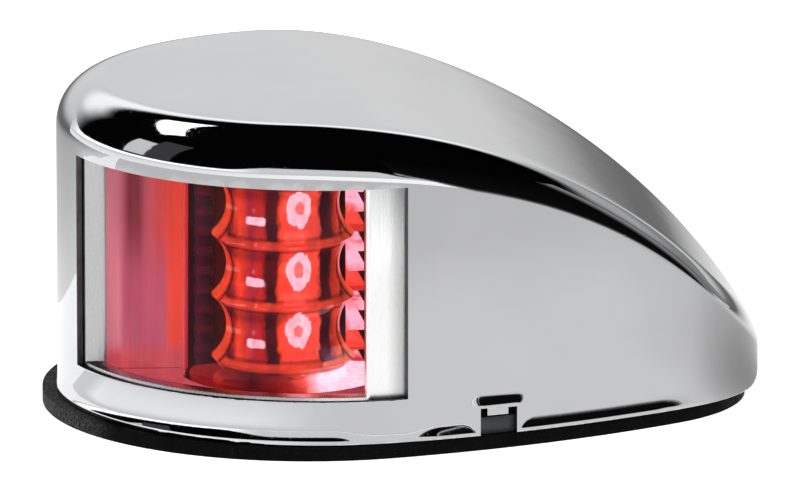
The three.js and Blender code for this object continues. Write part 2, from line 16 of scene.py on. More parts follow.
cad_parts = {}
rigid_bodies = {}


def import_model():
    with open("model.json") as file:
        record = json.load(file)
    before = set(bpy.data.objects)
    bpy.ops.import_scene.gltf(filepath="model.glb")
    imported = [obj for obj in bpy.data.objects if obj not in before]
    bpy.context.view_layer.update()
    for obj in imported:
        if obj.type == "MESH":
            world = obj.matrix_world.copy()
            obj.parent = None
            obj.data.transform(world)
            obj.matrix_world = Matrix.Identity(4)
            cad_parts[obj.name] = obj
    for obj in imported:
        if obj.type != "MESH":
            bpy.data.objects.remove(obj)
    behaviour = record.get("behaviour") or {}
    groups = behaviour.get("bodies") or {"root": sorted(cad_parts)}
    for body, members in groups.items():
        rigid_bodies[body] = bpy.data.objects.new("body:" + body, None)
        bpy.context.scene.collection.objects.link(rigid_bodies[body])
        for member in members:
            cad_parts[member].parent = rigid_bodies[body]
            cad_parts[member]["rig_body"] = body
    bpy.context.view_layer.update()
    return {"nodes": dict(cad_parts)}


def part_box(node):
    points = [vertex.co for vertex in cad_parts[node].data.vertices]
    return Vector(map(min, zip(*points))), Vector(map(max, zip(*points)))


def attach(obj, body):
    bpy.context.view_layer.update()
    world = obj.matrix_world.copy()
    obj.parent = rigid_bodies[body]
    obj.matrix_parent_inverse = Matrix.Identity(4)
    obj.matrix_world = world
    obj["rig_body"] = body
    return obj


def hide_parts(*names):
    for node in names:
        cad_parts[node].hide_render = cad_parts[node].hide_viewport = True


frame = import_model()
MM = 0.001
FAR = 0.1  # well past the part, for cutting blocks

# ---- driving dimensions

HOUSING_LOW, HOUSING_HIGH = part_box("housing")
GASKET_LOW, GASKET_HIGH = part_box("deck_gasket")
NOSE_R = HOUSING_HIGH.y
NOSE_X = HOUSING_LOW.x + NOSE_R
TAIL_R = 25.3 * MM
TAIL_X = HOUSING_HIGH.x - TAIL_R
SIDE_R = 147.8 * MM

RIM_Z = HOUSING_LOW.z
TOP_Z = HOUSING_HIGH.z
FALL_X = NOSE_X - 8 * MM
FALL_R = 88.3 * MM
EDGE_R_NOSE = 7 * MM
EDGE_R_TAIL = 2.8 * MM
SHEET = 0.9 * MM
WALL_INSET = 0.48 * MM
FLARE_HEIGHT = 2.9 * MM
UPRIGHT_FOOT = 0.5 * MM
FLARE_BLEND = 2.2 * MM
FLARE_SLOPE = math.tan(math.radians(16.5))
# Heights of the grid lines at the foot of the wall. The notch's top is the next line up.
FOOT_LINES = [mm * MM for mm in (0, 0.42, 0.5, 0.6, 0.85, 1.15, 1.5, 1.9, 2.4, 2.9, 3.5)]
NOTCH_LEVEL = len(FOOT_LINES)

WINDOW_LOW = 8.8 * MM
WINDOW_HIGH = 40.8 * MM
WINDOW_FORE_Y = 12.4 * MM
WINDOW_AFT_X = NOSE_X + 9.1 * MM
WINDOW_WALL_TOP = 41.2 * MM

NOTCH_BEARING = math.radians(17.9)
NOTCH_WIDTH = 5.9 * MM
NOTCH_TOP = RIM_Z + 4 * MM
LIP_WIDTH = 3.4 * MM
LIP_DROP = 1.3 * MM
LIP_REACH = 2.4 * MM

OPTIC_LOW, OPTIC_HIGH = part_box("light_guide")
BOARD_LOW, BOARD_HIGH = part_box("led_board")
OPTIC_X = (BOARD_LOW.x + BOARD_HIGH.x) / 2
OPTIC_Y = -16.6 * MM
BORE_R = 4.6 * MM
BORE_X = NOSE_X - 6 * MM
RIDGE_R = 10.8 * MM
WAIST_R = 8.6 * MM
RIDGE_LOW = 10.95 * MM
RIDGE_PITCH = 9.25 * MM
RINGS = 3
WAIST_DEPTH = RIDGE_R - WAIST_R
WAIST_ARC_R = ((RIDGE_PITCH / 2) ** 2 + WAIST_DEPTH**2) / (2 * WAIST_DEPTH)
AXIS = 0.01 * MM
DISC_R = 14.2 * MM
DISC_TOP = 8.8 * MM

LENS_LOW, LENS_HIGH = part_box("lens")
LENS_INSET = 4.3 * MM
LENS_BORE = 14.9 * MM

BEZEL_INSET = 1.55 * MM
BEZEL_DEPTH = 2.45 * MM
BEZEL_LOW, BEZEL_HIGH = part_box("lens_bezel")
BEZEL_STRIP_X = NOSE_X + 2.8 * MM
SILL_TOP = WINDOW_LOW + 0.5 * MM
BEZEL_SCREEN_Y = -12.6 * MM
BEZEL_SCREEN_END = NOSE_X - 33.3 * MM
SCREEN_FORE = NOSE_X - 36 * MM
SCREEN_FOOT = 7.6 * MM

DECK_HOLES = [(NOSE_X - 14 * MM, 24 * MM), (NOSE_X + 52 * MM, 0)]
DECK_HOLE_R = 2.3 * MM
CABLE_HOLE_R = 5.5 * MM
GROMMET_LOW, GROMMET_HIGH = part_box("cable_grommet")
CABLE_AT = ((GROMMET_LOW.x + GROMMET_HIGH.x) / 2, (GROMMET_LOW.y + GROMMET_HIGH.y) / 2)

# ---- the plan outline

TO_NOSE = SIDE_R - NOSE_R
TO_TAIL = SIDE_R - TAIL_R
SPAN = TAIL_X - NOSE_X
SIDE_X = NOSE_X + (TO_NOSE**2 - TO_TAIL**2 + SPAN**2) / (2 * SPAN)
SIDE_Y = math.sqrt(TO_NOSE**2 - (SIDE_X - NOSE_X) ** 2)
NOSE_JOIN = math.atan2(SIDE_Y, NOSE_X - SIDE_X)
TAIL_JOIN = math.atan2(SIDE_Y, TAIL_X - SIDE_X)


def arc_angles(start, end, steps, breaks=()):
    """Even angles from start to end, with the break angles in place of any that come too close."""
    step = (end - start) / steps
    even = [start + step * i for i in range(steps + 1)]
    clear = [a for a in even[1:-1] if all(abs(a - value) > 0.4 * abs(step) for value in breaks)]
    return [start, *sorted([*clear, *breaks]), end]


def outline_stations():
    """Stations (centre x, centre y, radius, angle) round the plan, from the tail by starboard and back."""
    notch_mid = math.pi / 2 - NOTCH_BEARING
    notch_half = math.asin(NOTCH_WIDTH / 2 / SIDE_R)
    beside = [(NOTCH_WIDTH / 2 + mm * MM) / SIDE_R for mm in (0.3, 0.5, 0.65, 0.95, 1.3, 1.8, 2.3)]
    window_aft = math.acos((WINDOW_AFT_X - SIDE_X) / SIDE_R)
    window_fore = math.pi - math.asin(WINDOW_FORE_Y / NOSE_R)
    side_breaks = [notch_mid - notch_half, notch_mid + notch_half, window_aft]
    side_breaks += [notch_mid + side * off for side in (-1, 1) for off in beside]
    arcs = [
        (TAIL_X, 0, TAIL_R, arc_angles(0, TAIL_JOIN, 44)),
        (SIDE_X, -SIDE_Y, SIDE_R, arc_angles(TAIL_JOIN, NOSE_JOIN, 120, side_breaks)),
        (NOSE_X, 0, NOSE_R, arc_angles(NOSE_JOIN, math.pi, 88, [window_fore])),
    ]
    half = []
    for x, y, radius, angles in arcs:
        skip = 1 if half else 0
        half += [(x, y, radius, angle) for angle in angles[skip:]]
    other = [(x, -y, radius, -angle) for x, y, radius, angle in half[-2:0:-1]]
    return half + other


STATIONS = outline_stations()


def at_inset(station, inset):
    x, y, radius, angle = station
    return x + (radius - inset) * math.cos(angle), y + (radius - inset) * math.sin(angle)


def outline(inset, stations=STATIONS):
    return [at_inset(station, inset) for station in stations]


def smoothstep(value, low, high):
    share = min(1.0, max(0.0, (value - low) / (high - low)))
    return share * share * (3 - 2 * share)


def top_height(x):
    if x <= FALL_X:
        return TOP_Z
    return TOP_Z - FALL_R + math.sqrt(FALL_R**2 - (x - FALL_X) ** 2)


def edge_radius(x):
    share = smoothstep(x, FALL_X, TAIL_X + TAIL_R)
    return EDGE_R_NOSE + (EDGE_R_TAIL - EDGE_R_NOSE) * share


# ---- mesh helpers


def show(item):
    bpy.context.scene.collection.objects.link(item)


def mesh_object(name, vertices, faces):
    mesh = bpy.data.meshes.new(name)
    mesh.from_pydata([tuple(v) for v in vertices], [], faces)
    mesh.validate()
    piece = bpy.data.objects.new(name, mesh)
    show(piece)
    return piece


@contextmanager
def editing(mesh):
    """Opens a mesh for edits, then writes them back."""
    bm = bmesh.new()
    bm.from_mesh(mesh)
    yield bm
    bm.to_mesh(mesh)
    bm.free()


def tidy_normals(piece, angle=35):
    """Makes the normals point out, smooth everywhere but on edges sharper than the angle."""
    with editing(piece.data) as bm:
        bmesh.ops.recalc_face_normals(bm, faces=bm.faces)
    for polygon in piece.data.polygons:
        polygon.use_smooth = True
    piece.data.set_sharp_from_angle(angle=math.radians(angle))


def bake_modifiers(piece):
    """Replaces the mesh by what its modifiers make of it."""
    graph = bpy.context.evaluated_depsgraph_get()
    baked = bpy.data.meshes.new_from_object(piece.evaluated_get(graph))
    piece.modifiers.clear()
    old = piece.data
    piece.data = baked
    bpy.data.meshes.remove(old)


def boolean(piece, other, operation):
    """Cuts, joins or keeps what is shared with the other solid, which is used up."""
    step = piece.modifiers.new(operation, "BOOLEAN")
    step.operation = operation
    step.solver = "EXACT"
    step.object = other
    bake_modifiers(piece)
    bpy.data.objects.remove(other)


def add_bevel(piece, width, segments, angle):
    step = piece.modifiers.new("edges", "BEVEL")
    step.width = width
    step.segments = segments
    step.limit_method = "ANGLE"
    step.angle_limit = math.radians(angle)
    return step


def soften(piece, width, segments=2):
    """Rounds the sharp edges of a solid."""
    with editing(piece.data) as bm:
        bmesh.ops.remove_doubles(bm, verts=bm.verts, dist=2e-6)
        bmesh.ops.dissolve_limit(bm, angle_limit=math.radians(1), verts=bm.verts, edges=bm.edges)
    add_bevel(piece, width, segments, 40)
    bake_modifiers(piece)
    tidy_normals(piece)


def thicken(piece, thickness, bevel, segments, rim_slot=0):
    """Gives a skin the thickness of its sheet, inward, and rounds its edges."""
    sheet = piece.modifiers.new("sheet", "SOLIDIFY")
    sheet.thickness = thickness
    sheet.offset = -1
    sheet.material_offset_rim = rim_slot
    add_bevel(piece, bevel, segments, 50).material = 0
    bake_modifiers(piece)
    tidy_normals(piece, 50)


def prism(name, points, low, high):
    """A plan polygon raised from low to high."""
    count = len(points)
    vertices = [(x, y, low) for x, y in points] + [(x, y, high) for x, y in points]
    faces = [tuple(reversed(range(count))), tuple(range(count, 2 * count))]
    for i in range(count):
        j = (i + 1) % count
        faces.append((i, j, j + count, i + count))
    return mesh_object(name, vertices, faces)


def block(name, low, high):
    points = [(low[0], low[1]), (high[0], low[1]), (high[0], high[1]), (low[0], high[1])]
    return prism(name, points, low[2], high[2])


def circle(x, y, radius, steps=64):
    turn = 2 * math.pi / steps
    return [(x + radius * math.cos(i * turn), y + radius * math.sin(i * turn)) for i in range(steps)]


def bar(name, x, y, radius, low, high, steps=64):
    return prism(name, circle(x, y, radius, steps), low, high)


def turned(name, profile, steps=96):
    """A closed profile of (radius, height) points turned about the Z axis."""
    count = len(profile)
    vertices = []
    for i in range(steps):
        angle = 2 * math.pi * i / steps
        vertices += [(r * math.cos(angle), r * math.sin(angle), z) for r, z in profile]
    faces = []
    for i in range(steps):
        here = i * count
        there = ((i + 1) % steps) * count
        for k in range(count):
            j = (k + 1) % count
            faces.append((here + k, there + k, there + j, here + j))
    return mesh_object(name, vertices, faces)


def place(piece, body, material, slot, *nodes):
    """Gives a finished piece its material, hangs it on its body, and hides the CAD nodes it replaces."""
    piece.data.materials.clear()
    piece.data.materials.append(material)
    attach(piece, body)
    if nodes:
        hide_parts(*nodes)
    return piece


# ---- material helpers


class Nodes:
    """A material's or world's node tree, emptied, with short ways to add and join nodes."""

    def __init__(self, owner):
        owner.use_nodes = True
        self.tree = owner.node_tree
        self.tree.nodes.clear()

    def add(self, kind, **settings):
        node = self.tree.nodes.new(kind)
        for key, value in settings.items():
            setattr(node, key, value)
        return node

    def feed(self, node, slot, source):
        """Links an input to a socket, or sets it to a value."""
        if isinstance(source, bpy.types.NodeSocket):
            self.tree.links.new(source, node.inputs[slot])
        else:
            node.inputs[slot].default_value = source

    def axes(self, vector):
        split = self.add("ShaderNodeSeparateXYZ")
        self.feed(split, "Vector", vector)
        return split.outputs["X"], split.outputs["Y"], split.outputs["Z"]

    def math(self, operation, *sources):
        node = self.add("ShaderNodeMath", operation=operation)
        for slot, source in enumerate(sources):
            self.feed(node, slot, source)
        return node.outputs["Value"]

    def plus(self, first, second):
        return self.math("ADD", first, second)

    def minus(self, first, second):
        return self.math("SUBTRACT", first, second)

    def times(self, first, second):
        return self.math("MULTIPLY", first, second)

    def over(self, first, second):
        return self.math("DIVIDE", first, second)

    def share(self, value, low, high, to_low=0.0, to_high=1.0, ease="SMOOTHSTEP"):
        """Where a value is between two bounds, held there and carried over to two others."""
        node = self.add("ShaderNodeMapRange", interpolation_type=ease)
        slots = ("Value", "From Min", "From Max", "To Min", "To Max")
        for slot, source in zip(slots, (value, low, high, to_low, to_high)):
            self.feed(node, slot, source)
        return node.outputs["Result"]


class Look(Nodes):
    """A material's node tree, with its Principled shader ready."""

    def __init__(self, name, **values):
        self.material = bpy.data.materials.new(name)
        super().__init__(self.material)
        self.shader = self.add("ShaderNodeBsdfPrincipled")
        self.feed(self.add("ShaderNodeOutputMaterial"), "Surface", self.shader.outputs["BSDF"])
        self.place = self.add("ShaderNodeTexCoord").outputs["Object"]
        for key, value in values.items():
            self.shader.inputs[key.replace("_", " ")].default_value = value

    def noise(self, scale, detail=3.0, roughness=0.5, stretch=(1, 1, 1)):
        """Noise in object space; scale is in features per metre."""
        spread = self.add("ShaderNodeMapping")
        self.feed(spread, "Scale", stretch)
        self.feed(spread, "Vector", self.place)
        texture = self.add("ShaderNodeTexNoise")
        self.feed(texture, "Scale", scale)
        self.feed(texture, "Detail", detail)
        self.feed(texture, "Roughness", roughness)
        self.feed(texture, "Vector", spread.outputs["Vector"])
        return texture.outputs["Fac"]

    def colors(self, value, stops):
        node = self.add("ShaderNodeValToRGB")
        self.feed(node, "Fac", value)
        elements = node.color_ramp.elements
        while len(elements) < len(stops):
            elements.new(0.5)
        for element, (position, color) in zip(elements, stops):
            element.position = position
            element.color = color if len(color) == 4 else (*color, 1)
        return node.outputs["Color"]

    def mix(self, factor, first, second, blend="MIX"):
        """Blends two colours, each a socket or an (r, g, b)."""
        node = self.add("ShaderNodeMix", data_type="RGBA", blend_type=blend, clamp_result=False)
        self.feed(node, 0, factor)
        for slot, source in ((6, first), (7, second)):
            self.feed(node, slot, (*source[:3], 1) if isinstance(source, tuple) else source)
        return node.outputs[2]

    def paint(self, source, slot="Base Color"):
        self.feed(self.shader, slot, source)

    def roughen(self, value, low, high, from_low=0.3, from_high=0.7):
        self.paint(self.share(value, from_low, from_high, low, high, "LINEAR"), "Roughness")

    def bump(self, height, distance, strength=1.0, below=None):
        node = self.add("ShaderNodeBump")
        self.feed(node, "Distance", distance)
        self.feed(node, "Strength", strength)
        self.feed(node, "Height", height)
        if below:
            self.feed(node, "Normal", below)
        self.paint(node.outputs["Normal"], "Normal")
        return node.outputs["Normal"]


def grey(value):
    return (value, value, value, 1)


def mirror_steel():
    """Polished stainless: slow polishing waves, a fine orange peel, and tiny pits."""
    look = Look("mirror_steel", Metallic=1.0)
    look.paint(look.colors(look.noise(60, 2), [(0.3, (0.535, 0.537, 0.546)), (0.75, (0.57, 0.571, 0.58))]))
    look.roughen(look.noise(420, 4, 0.6, (1, 1, 4)), 0.02, 0.075, 0.35, 0.8)
    waves = look.bump(look.noise(95, 1.5, 0.4), 0.000035)
    orange_peel = look.bump(look.noise(1300, 3, 0.6), 0.0000016, 1.0, waves)
    pits = look.colors(look.noise(2600, 1), [(0.0, grey(0)), (0.22, grey(0)), (0.3, grey(1)), (1.0, grey(1))])
    look.bump(pits, 0.000006, 0.35, orange_peel)
    return look.material


def satin_steel():
    """Steel strip brushed upright, with painted shade along it: darker over the screen forward and past the
    bright band on the aft strip.
    """
    look = Look("satin_steel", Metallic=1.0)
    grain = look.noise(900, 5, 0.65, (6, 6, 0.12))
    tone = look.colors(grain, [(0.3, (0.9, 0.905, 0.9)), (0.7, (1.0, 1.0, 0.995))])
    x, _, _ = look.axes(look.place)
    # Painted shade by position along the bezel: dim forward, bright on the aft strip, dim again at its far
    # edge.
    painted_shade = look.colors(
        look.over(look.minus(x, BEZEL_LOW.x), BEZEL_HIGH.x - BEZEL_LOW.x),
        [(0.0, grey(0.56)), (0.6, grey(0.6)), (0.7, grey(1.0)), (0.885, grey(1.0)), (0.925, grey(0.62))],
    )
    look.paint(look.mix(1.0, tone, painted_shade, "MULTIPLY"))
    look.roughen(grain, 0.2, 0.38)
    look.bump(grain, 0.000006)
    return look.material


def cut_steel():
    """The sheared edge of the sheet: dull, and painted near black as shade beside the polish."""
    look = Look("cut_steel", Metallic=1.0)
    drag = look.noise(1600, 3, 0.6, (1, 1, 0.3))
    # The near-black colour is painted shade on the sheet's cut edges.
    look.paint(look.colors(drag, [(0.3, (0.05, 0.05, 0.052)), (0.7, (0.11, 0.11, 0.115))]))
    look.roughen(drag, 0.3, 0.5)
    look.bump(drag, 0.000008)
    return look.material


def plated_steel(name="plated_steel", low=(0.5, 0.51, 0.52), high=(0.68, 0.69, 0.7)):
    look = Look(name, Metallic=1.0)
    cloud = look.noise(700, 4, 0.6)
    look.paint(look.colors(cloud, [(0.35, low), (0.7, high)]))
    look.roughen(cloud, 0.22, 0.42)
    look.bump(look.noise(4200, 3), 0.000004)
    return look.material


def dark_aluminium():
    """Black anodised heat sink, with fine machining lines, and the LED light spilling on it painted in as
    glow.
    """
    look = Look("dark_aluminium", Metallic=0.6, Emission_Strength=1.0)
    lines = look.noise(500, 4, 0.6, (0.15, 5, 5))
    look.paint(look.colors(lines, [(0.3, (0.012, 0.012, 0.014)), (0.7, (0.034, 0.034, 0.04))]))
    look.roughen(lines, 0.32, 0.52)
    look.bump(lines, 0.00001)
    # Painted light: the fins glow as if lit by the LEDs, orange just aft of the optic, banded by ring level
    # further aft, faint plum far forward.
    x, _, z = look.axes(look.place)
    aft = look.minus(x, OPTIC_X)
    level = look.math("FRACT", look.over(look.minus(z, RIDGE_LOW), RIDGE_PITCH))
    ripple = look.times(look.minus(look.noise(500, 3), 0.5), 0.5)
    glow = [(0.15, (1.0, 0.4, 0.2)), (0.35, (1.35, 3.2, 3.8))]
    glow += [(0.65, (1.3, 3.0, 3.6)), (0.82, (0.7, 0.2, 0.12))]
    spill = look.colors(look.plus(level, ripple), glow)
    ragged = look.plus(aft, look.times(ripple, 3 * MM))
    spill = look.mix(look.share(ragged, 9.6 * MM, 10.6 * MM), (1.0, 0.42, 0.22), spill)
    fore = look.mix(look.share(aft, -10.5 * MM, -14 * MM), (0.012, 0.01, 0.02), (0.06, 0.045, 0.13))
    look.paint(look.mix(look.share(aft, 8.0 * MM, 9.0 * MM), fore, spill), "Emission Color")
    return look.material


def rubber(name="black_rubber", low=(0.002, 0.002, 0.0023), high=(0.004, 0.004, 0.0045), speck=0.06):
    """Moulded rubber with pale specks, paler speckled grey towards the nose."""
    look = Look(name, Roughness=0.62, Specular_IOR_Level=0.03)
    pale = (speck, speck, speck * 1.04)
    specks = look.colors(look.noise(3400, 3, 0.7), [(0.45, low), (0.66, high), (0.8, pale)])
    # Paler, speckled grey towards the nose.
    paler_at_nose = look.colors(look.noise(2300, 4, 0.75), [(0.4, grey(0.004)), (0.66, grey(0.09))])
    x, _, _ = look.axes(look.place)
    look.paint(look.mix(look.share(x, NOSE_X - 33 * MM, NOSE_X - 38 * MM), specks, paler_at_nose))
    look.roughen(look.noise(500, 3), 0.48, 0.72)
    skin = look.bump(look.noise(900, 3), 0.00005)
    look.bump(look.noise(4200, 2), 0.00002, 1.0, skin)
    return look.material


def moulded_plastic(name, low, high, roughness=(0.38, 0.55), grain=0.000016):
    """Spark-eroded moulding texture."""
    look = Look(name)
    look.paint(look.colors(look.noise(240, 3), [(0.3, low), (0.7, high)]))
    look.roughen(look.noise(800, 3), *roughness)
    look.bump(look.noise(3200, 3, 0.6), grain)
    return look.material


def clear_red_block():
    """The lens: clear red plastic with faint upright flow lines. Its haze is the polished outer skin."""
    coat = {"Coat_Weight": 0.16, "Coat_Roughness": 0.03, "Coat_IOR": 1.5}
    look = Look("red_lens", Roughness=0.012, IOR=1.04, Transmission_Weight=1.0, **coat)
    flow = look.noise(240, 3, 0.6, (1, 1, 0.12))
    look.paint(look.colors(flow, [(0.35, (0.84, 0.11, 0.13)), (0.6, (0.95, 0.15, 0.17))]))
    look.bump(flow, 0.000006)
    return look.material


def clear_optic():
    """The pocket behind the rings, where the LEDs shine in."""
    look = Look("red_optic_inside", Roughness=0.04, IOR=1.3, Transmission_Weight=1.0)
    look.paint(look.colors(look.noise(200, 3), [(0.3, (1.0, 0.5, 0.35)), (0.7, (1.0, 0.65, 0.5))]))
    look.bump(look.noise(700, 2), 0.00001)
    return look.material


ORANGE = (1.0, 0.62, 0.2)
RED = (1.0, 0.62, 0.36)
DEEP = (0.42, 0.14, 0.12)
PLUM = (0.4, 0.2, 0.32)
MAROON = (0.03, 0.03, 0.06)
ROSE = (1.5, 7.0, 7.6)

# How the painted light spreads across a ring: millimetres from the optic's middle, and the colour there.
RING_LIGHT = [
    (-10.8, ORANGE), (-9.0, ORANGE), (-8.5, MAROON), (-7.8, DEEP), (-7.1, ORANGE),
    (-5.6, PLUM), (-4.0, DEEP), (-3.2, MAROON), (-1.7, MAROON), (-1.1, ORANGE),
    (-0.6, RED), (4.6, RED), (5.0, MAROON), (6.4, MAROON), (7.0, DEEP),
    (8.0, ORANGE), (8.5, MAROON), (9.0, ORANGE), (10.8, ORANGE),
]

# The same across the foot, by the share of its width: its painted light, and the base colour under it,
# painted with the same light and shade.
FOOT_LIGHT = [(0.0, DEEP), (0.25, MAROON), (0.5, DEEP), (0.6, RED), (0.72, ROSE), (1.0, ROSE)]
FOOT_PAINTED_BASE = [(0.0, (0.06, 0.015, 0.03)), (0.5, (0.1, 0.02, 0.03)), (0.75, (0.8, 0.6, 0.6))]


def glowing_optic():
    """Clear orange-red rings with their light and shade painted in as glow: bright over each LED and on the
    ridges, dark between.
    """
    look = Look("red_optic", Roughness=0.035, IOR=1.46, Transmission_Weight=0.35, Emission_Strength=0.6)
    x, _, z = look.axes(look.place)
    ripple = look.noise(420, 4, 0.65, (1, 1, 0.3))
    shift = look.times(look.minus(ripple, 0.5), 2.4 * MM)
    off_axis = look.minus(x, OPTIC_X)
    middle = look.plus(off_axis, shift)
    across = look.plus(look.over(middle, 2 * RIDGE_R), 0.5)
    stops = [((mm * MM / RIDGE_R + 1) / 2, color) for mm, color in RING_LIGHT]
    light = look.colors(across, stops)

    turns = look.over(look.minus(z, RIDGE_LOW), RIDGE_PITCH)
    level = look.math("FRACT", turns)
    from_waist = look.math("ABSOLUTE", look.minus(level, 0.5))
    shade = look.times(look.share(level, 0.6, 0.78), look.share(middle, 0.2 * MM, -1.2 * MM))
    light = look.mix(look.times(shade, 0.5), light, MAROON)
    light = look.mix(look.times(look.share(from_waist, 0.36, 0.4), 0.55), light, MAROON)
    # Painted light along the ridges.
    ridge_glow = look.mix(look.share(ripple, 0.42, 0.6), RED, ORANGE)
    light = look.mix(look.times(look.share(from_waist, 0.405, 0.46), 0.6), light, ridge_glow)

    off = look.times(from_waist, RIDGE_PITCH)
    bulge = look.math("SQRT", look.minus(WAIST_ARC_R**2, look.times(off, off)))
    reach = look.minus(WAIST_R + WAIST_ARC_R, bulge)
    from_edge = look.minus(reach, look.math("ABSOLUTE", off_axis))
    # Painted dark line and orange rim along each ring's outline.
    light = look.mix(look.times(look.share(from_edge, 1.1 * MM, 0.8 * MM), 0.8), light, MAROON)
    light = look.mix(look.share(from_edge, 0.75 * MM, 0.35 * MM), light, ORANGE)
    # The painted light and shade so far; it is also the base colour below.
    body = light

    def spot(at_x, at_level, half_width, half_height, power=2):
        """How far from the middle of an oval patch of light, as 1 at its edge."""
        off_x = look.over(look.minus(off_axis, at_x), half_width)
        off_z = look.over(look.minus(level, at_level), half_height / RIDGE_PITCH)
        far_x = look.math("POWER", look.math("ABSOLUTE", off_x), power)
        far_z = look.math("POWER", look.math("ABSOLUTE", off_z), power)
        far = look.math("POWER", look.plus(far_x, far_z), 1 / power)
        return look.plus(far, look.minus(ripple, 0.5))

    # Painted glow of each LED seen through the ring.
    led = spot(1.6 * MM, 0.58, 1.95 * MM, 2.9 * MM)
    light = look.mix(look.share(led, 1.02, 0.94), light, ROSE)
    light = look.mix(look.share(led, 0.5, 0.34), light, (0.95, 1.6, 1.5))
    # Painted glint: a softbox mirrored in each ring.
    glint = spot(-4.75 * MM, 0.36, 1.4 * MM, 0.65 * MM, 5)
    light = look.mix(look.share(glint, 1.05, 0.8), light, ROSE)

    # Painted light and shade across the foot.
    foot = look.colors(across, FOOT_LIGHT)
    on_foot = look.share(z, RIDGE_LOW - 0.6 * MM, RIDGE_LOW - 1.4 * MM)
    light = look.mix(on_foot, light, foot)
    # Painted shade and pink highlight in the foot's base colour.
    body = look.mix(on_foot, body, look.colors(across, FOOT_PAINTED_BASE))
    cloud = look.colors(look.noise(900, 3, 0.6, (1, 1, 0.4)), [(0.3, grey(0.6)), (0.6, grey(1.0))])
    look.paint(look.mix(1.0, light, cloud, "MULTIPLY"), "Emission Color")
    # The base colour carries the same painted light and shade.
    look.paint(look.mix(1.0, body, (0.8, 0.6, 0.6), "MULTIPLY"))
    look.bump(look.noise(240, 3, 0.6, (1, 1, 0.3)), 0.00004)
    return look.material


def frosted_red():
    """The lens's back and lower faces: blasted, so they scatter. Their colours are painted light, also shown
    as glow: pink forward with a painted highlight band, upright darker streaks, a painted glow band low down,
    and an orange edge aft.
    """
    look = Look("frosted_red", Roughness=0.7, Emission_Strength=0.35)
    x, _, z = look.axes(look.place)
    fore, aft = NOSE_X - 36 * MM, NOSE_X - 21.5 * MM
    across = look.over(look.minus(x, fore), aft - fore)
    # Painted light: an orange glow along the aft edge, and a pink band forward with a painted highlight in
    # it.
    aft_edge_glow = [(0.85, (0.98, 0.36, 0.22)), (0.98, (0.95, 0.3, 0.16)), (1.0, (0.3, 0.1, 0.12))]
    pink_with_highlight = [(0.0, (0.7, 0.5, 0.72)), (0.25, (0.75, 0.9, 1.0)), (0.31, (0.75, 0.9, 1.0))]
    pink_with_highlight += [(0.37, (0.58, 0.4, 0.66)), (0.8, (0.62, 0.46, 0.7))]
    streaks = [(0.3, (0.7, 0.85, 1.0)), (0.38, (0.5, 0.35, 0.45)), (0.43, (0.26, 0.12, 0.18))]
    streaks += [(0.53, (0.28, 0.13, 0.19)), (0.6, (0.58, 0.45, 0.55))]
    clear = look.colors(across, pink_with_highlight + aft_edge_glow)
    streaked = look.colors(across, streaks + aft_edge_glow)
    light = look.mix(look.share(z, 20 * MM, 32 * MM), clear, streaked)
    # Painted glow band along the bottom.
    light = look.mix(look.share(z, 13 * MM, 10 * MM), light, (0.72, 0.36, 0.42))
    flow = look.colors(look.noise(170, 3, 0.55, (2.4, 1, 0.12)), [(0.3, grey(0.57)), (0.6, grey(0.73))])
    light = look.mix(1.0, light, flow, "MULTIPLY")
    look.paint(light)
    # The same painted light also glows.
    look.paint(light, "Emission Color")
    look.bump(look.noise(2600, 2), 0.00001)
    return look.material


def solder_mask(name, color, copper):
    """Lacquered board: tracks show as a faintly raised, lighter pattern."""
    look = Look(name, Roughness=0.32)
    tracks = look.add("ShaderNodeTexBrick")
    look.feed(tracks, "Scale", 320)
    look.feed(tracks, "Mortar Size", 0.03)
    look.feed(tracks, "Color1", (*color, 1))
    look.feed(tracks, "Color2", (*[c * 0.85 for c in color], 1))
    look.feed(tracks, "Mortar", (*copper, 1))
    turn = look.add("ShaderNodeMapping")
    look.feed(turn, "Rotation", (math.pi / 2, 0, 0))
    look.feed(turn, "Vector", look.place)
    look.feed(tracks, "Vector", turn.outputs["Vector"])
    look.paint(tracks.outputs["Color"])
    look.bump(tracks.outputs["Fac"], 0.00003)
    return look.material


def led_strip():
    """The LED board: white lacquer down the middle, edges painted near black as shade."""
    look = Look("white_board", Roughness=0.4)
    x, _, _ = look.axes(look.place)
    off = look.math("ABSOLUTE", look.minus(x, OPTIC_X))
    white = look.colors(look.noise(800, 2), [(0.3, (0.7, 0.68, 0.64)), (0.7, (0.8, 0.78, 0.74))])
    # Painted shade: the board goes near black past the middle strip.
    look.paint(look.mix(look.share(off, 6.4 * MM, 6.8 * MM), white, (0.012, 0.012, 0.016)))
    look.bump(look.noise(2400, 2), 0.00001)
    return look.material


def led_glow():
    """White package whose dome glows faintly."""
    look = Look(
        "led_package", Roughness=0.3, Emission_Color=(1.0, 0.93, 1.0, 1), Emission_Strength=2.0
    )
    look.paint(look.colors(look.noise(1500, 2), [(0.3, (0.86, 0.8, 0.7)), (0.7, (0.95, 0.92, 0.86))]))
    look.bump(look.noise(2600, 2), 0.000008)
    return look.material


